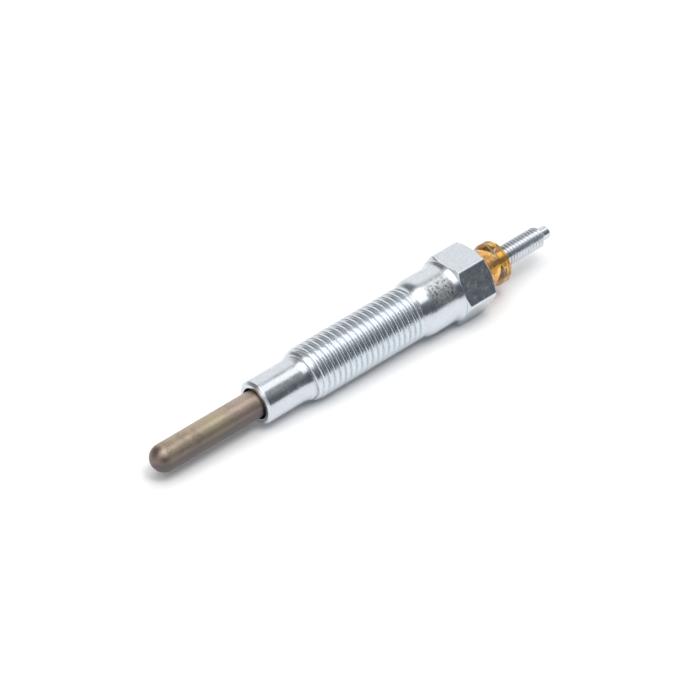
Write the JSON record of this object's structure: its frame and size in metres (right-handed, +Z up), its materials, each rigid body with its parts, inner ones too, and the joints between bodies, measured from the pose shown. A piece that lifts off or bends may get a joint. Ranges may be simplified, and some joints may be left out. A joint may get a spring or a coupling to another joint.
{
  "type": "diesel glow plug",
  "caption": "Sheathed diesel glow plug: round-ended heater, threaded shell with conical seat, hexagon, insulating bushing and threaded terminal stud, lying on its side.",
  "frame": {"origin": "on the table, under the middle of the plug's length and width", "axes": "+X from the heater tip towards the terminal stud, +Z up. The plug's own axis rises towards the terminal by 1.65 degrees in the X-Z plane, because it rests on a hexagon flat's front edge and on its thread"},
  "size_m": [0.0918, 0.0134, 0.0121],
  "materials": {
    "zinc_plated_steel": "bright zinc plate, satin, finely turned",
    "oxidised_alloy": "nickel-chromium steel browned by annealing, dull, faintly mottled",
    "amber_plastic": "glossy amber, clouded",
    "resistance_wire": "drawn wire",
    "magnesia": "matt pressed powder",
    "seal_rubber": "matt"
  },
  "bodies": {
    "root": {"shell": "zinc_plated_steel", "heater_sheath": "oxidised_alloy", "heating_coil": "resistance_wire", "control_coil": "resistance_wire", "insulating_powder": "magnesia", "centre_rod": "zinc_plated_steel", "sheath_seal": "seal_rubber", "body_seal": "seal_rubber", "insulating_bushing": "amber_plastic"}
  },
  "joints": []
}
